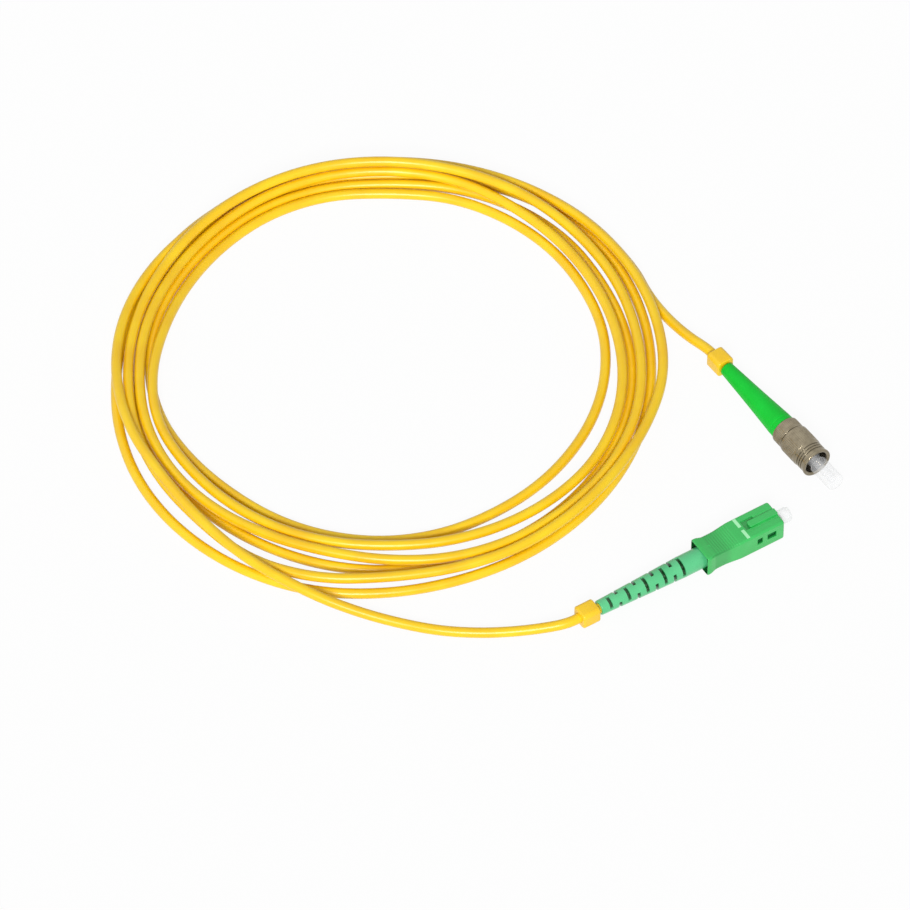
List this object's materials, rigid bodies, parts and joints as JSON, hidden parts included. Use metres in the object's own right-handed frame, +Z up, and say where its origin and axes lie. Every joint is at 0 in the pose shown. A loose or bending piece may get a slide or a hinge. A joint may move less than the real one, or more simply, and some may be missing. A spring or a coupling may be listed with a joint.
{
  "type": "fiber optic patch cord",
  "caption": "Simplex yellow fibre patch cord wound in a loose coil, with a green square push-pull plug on one end and a green-booted screw-on plug on the other, both capped.",
  "frame": {"origin": "on the surface that the cord lies on, under the middle of the two plugs' box (the cord and its marker collars not counted)", "axes": "+Z up from the surface; +Y along the plugs' longer spread, away from the square plug towards the screw-on plug; the coil lies on the -X side"},
  "size_m": [0.211, 0.1786, 0.0102],
  "materials": {
    "jacket": "satin",
    "sc_green": "satin",
    "sc_boot_green": "satin",
    "fc_boot_green": "satin",
    "white_print": "satin",
    "plug_plastic": "satin",
    "nickel": "nickel plated, satin",
    "spring_steel": "drawn",
    "ceramic": "polished zirconia",
    "cap_clear": "translucent",
    "yarn": "fibre",
    "buffer": "satin"
  },
  "bodies": {
    "cord_and_plugs": {"cord_coil": "jacket", "cord_run_fc": "jacket", "cord_run_sc": "jacket", "cord_end_sc": "jacket", "cord_end_fc": "jacket", "sc_boot": "sc_boot_green", "sc_stop_body": "nickel", "sc_yarn_fold": "yarn", "sc_crimp_sleeve": "nickel", "sc_buffered_fibre": "buffer", "sc_plug_body": "plug_plastic", "sc_spring": "spring_steel", "fc_boot": "fc_boot_green", "fc_rear_body": "nickel", "fc_yarn_fold": "yarn", "fc_crimp_sleeve": "nickel", "fc_buffered_fibre": "buffer", "fc_front_body": "nickel", "fc_spring": "spring_steel"},
    "sc_grip": {"sc_housing": "sc_green", "sc_index_marks": "white_print"},
    "sc_ferrule_unit": {"sc_ferrule_holder": "nickel", "sc_ferrule": "ceramic"},
    "sc_cap": {"sc_dust_cap": "cap_clear"},
    "sc_marker": {"cable_marker_sc": "jacket"},
    "fc_ring": {"fc_snap_ring": "spring_steel"},
    "fc_nut": {"fc_coupling_nut": "nickel"},
    "fc_ferrule_unit": {"fc_ferrule_holder": "nickel", "fc_ferrule": "ceramic"},
    "fc_cap": {"fc_dust_cap": "cap_clear"},
    "fc_marker": {"cable_marker_fc": "jacket"}
  },
  "joints": [
    {"name": "sc_grip_slide", "type": "slide", "parent": "cord_and_plugs", "child": "sc_grip", "axis": [0.8434, 0.5373, 0], "range_m": [-0.0012, 0]},
    {"name": "sc_ferrule_float", "type": "slide", "parent": "cord_and_plugs", "child": "sc_ferrule_unit", "axis": [0.8434, 0.5373, 0], "range_m": [-0.0008, 0], "stiffness_N_per_m": 2500, "springref_m": 0.002, "deforming": ["sc_spring"]},
    {"name": "sc_cap_pull", "type": "slide", "parent": "sc_ferrule_unit", "child": "sc_cap", "axis": [0.8434, 0.5373, 0], "range_m": [0, 0.012]},
    {"name": "sc_marker_turn", "type": "hinge", "parent": "cord_and_plugs", "child": "sc_marker", "pos_m": [-0.03767, -0.04552, 0.0037], "axis": [0.8434, 0.5373, 0], "continuous": true},
    {"name": "fc_nut_slide", "type": "slide", "parent": "cord_and_plugs", "child": "fc_ring", "axis": [0.5807, -0.8141, 0], "range_m": [0, 0.001]},
    {"name": "fc_nut_turn", "type": "hinge", "parent": "fc_ring", "child": "fc_nut", "pos_m": [0.02499, 0.01334, 0.0047], "axis": [0.5807, -0.8141, 0], "continuous": true},
    {"name": "fc_ferrule_float", "type": "slide", "parent": "cord_and_plugs", "child": "fc_ferrule_unit", "axis": [0.5807, -0.8141, 0], "range_m": [-0.0008, 0], "stiffness_N_per_m": 2500, "springref_m": 0.002, "deforming": ["fc_spring"]},
    {"name": "fc_cap_pull", "type": "slide", "parent": "fc_ferrule_unit", "child": "fc_cap", "axis": [0.5807, -0.8141, 0], "range_m": [0, 0.015]},
    {"name": "fc_marker_turn", "type": "hinge", "parent": "cord_and_plugs", "child": "fc_marker", "pos_m": [0.00124, 0.04664, 0.0047], "axis": [0.5807, -0.8141, 0], "continuous": true}
  ]
}
